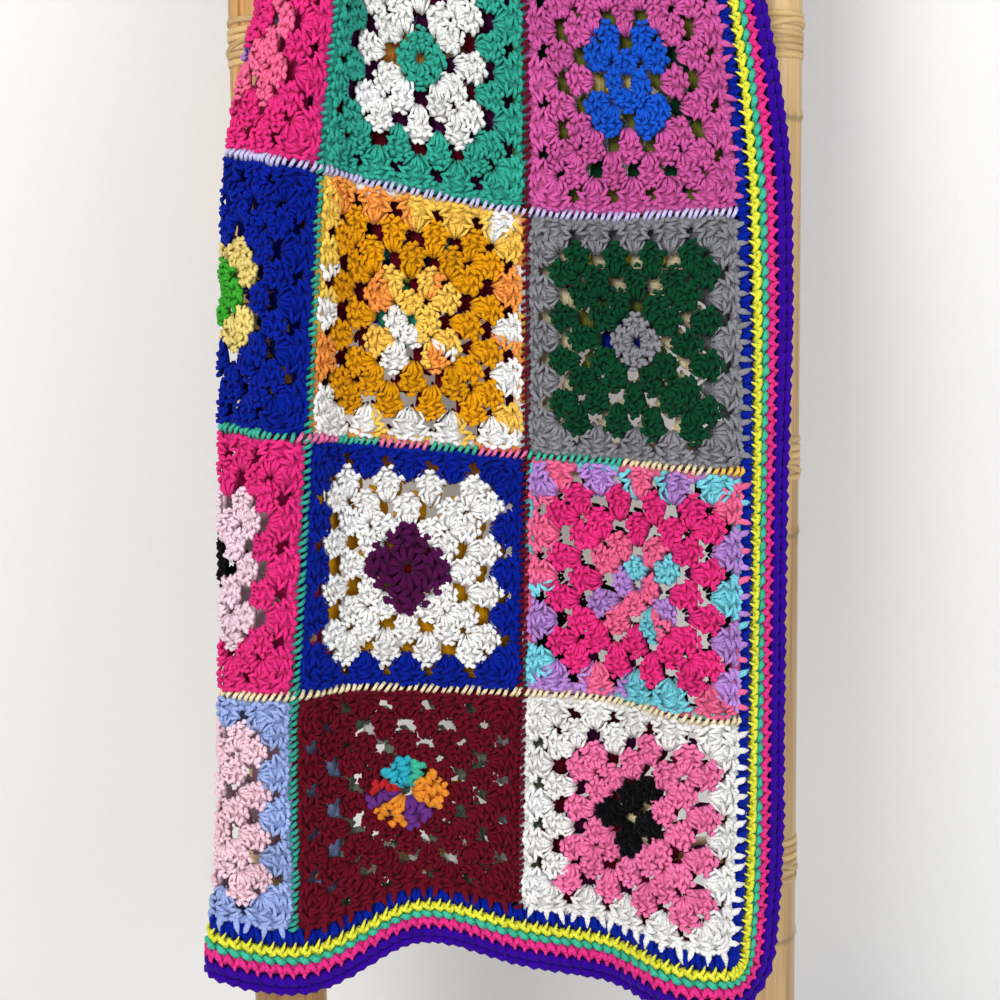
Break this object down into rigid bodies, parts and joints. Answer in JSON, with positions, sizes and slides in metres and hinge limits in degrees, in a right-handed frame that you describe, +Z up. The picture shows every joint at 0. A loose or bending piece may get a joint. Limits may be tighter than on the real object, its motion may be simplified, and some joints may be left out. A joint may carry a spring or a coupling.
{
  "type": "granny square blanket on a bamboo ladder",
  "caption": "Crocheted blanket of many-coloured granny squares with a striped edging, folded lengthwise and hung over a rung of a leaning bamboo ladder with rattan lashings.",
  "frame": {"origin": "On the wall that the ladder leans on, midway between the tops of its two poles: a floor is 1.596 m below it.", "axes": "+Z up, +X to the viewer's right, -Y towards the viewer, so the ladder's top leans towards +Y."},
  "size_m": [0.4454, 0.3474, 1.6042],
  "materials": {
    "square_yarn": "matte crocheted yarn, many colours",
    "edging_yarn": "matte crocheted yarn in bands of blue, yellow, mint, pink and purple",
    "bamboo": "satin bamboo with a fine upright grain",
    "rattan": "satin split rattan"
  },
  "bodies": {
    "root": {"blanket": "square_yarn", "edging": "edging_yarn", "pole_left": "bamboo", "pole_right": "bamboo", "rung_1": "bamboo", "rung_2": "bamboo", "rung_3": "bamboo", "rung_4": "bamboo", "rung_5": "bamboo", "lashing_left_1": "rattan", "lashing_left_2": "rattan", "lashing_left_3": "rattan", "lashing_left_4": "rattan", "lashing_left_5": "rattan", "lashing_right_1": "rattan", "lashing_right_2": "rattan", "lashing_right_3": "rattan", "lashing_right_4": "rattan", "lashing_right_5": "rattan"}
  },
  "joints": []
}
